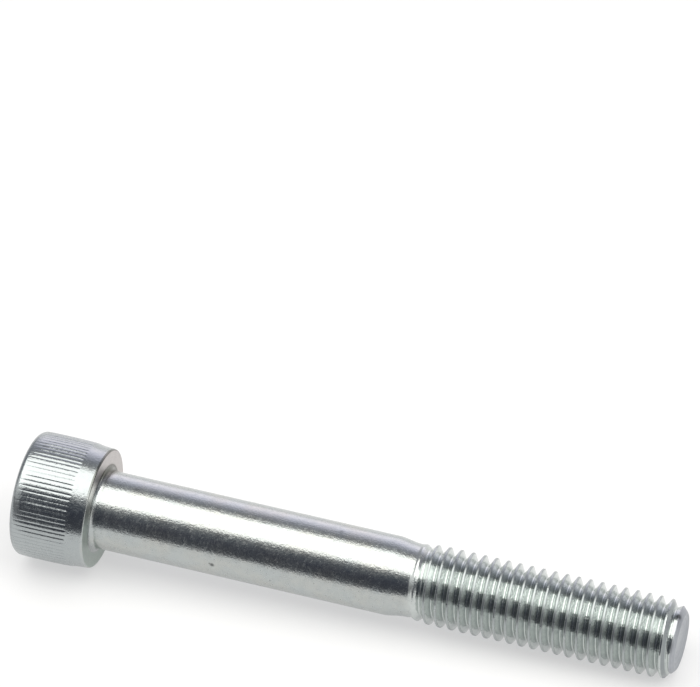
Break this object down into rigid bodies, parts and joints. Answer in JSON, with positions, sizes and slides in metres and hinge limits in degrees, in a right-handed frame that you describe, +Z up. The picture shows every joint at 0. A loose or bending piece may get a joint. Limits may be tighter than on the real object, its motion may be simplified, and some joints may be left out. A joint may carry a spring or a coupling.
{
  "type": "hex socket cap screw",
  "caption": "Hex socket cap screw: knurled cylindrical head with an internal hexagon, plain shank and a rolled right-hand thread, lying at rest on head and thread.",
  "frame": {"origin": "on the surface that the screw lies on, under the middle of its length", "axes": "+X along the screw from the head to the tip, +Z up; the screw's own axis dips about two degrees towards the tip, because the head is thicker than the thread"},
  "size_m": [0.085, 0.0158, 0.0161],
  "materials": {
    "zinc_plated_steel": "bright zinc plated, clear passivated"
  },
  "bodies": {
    "root": {"cap_screw": "zinc_plated_steel"}
  },
  "joints": []
}
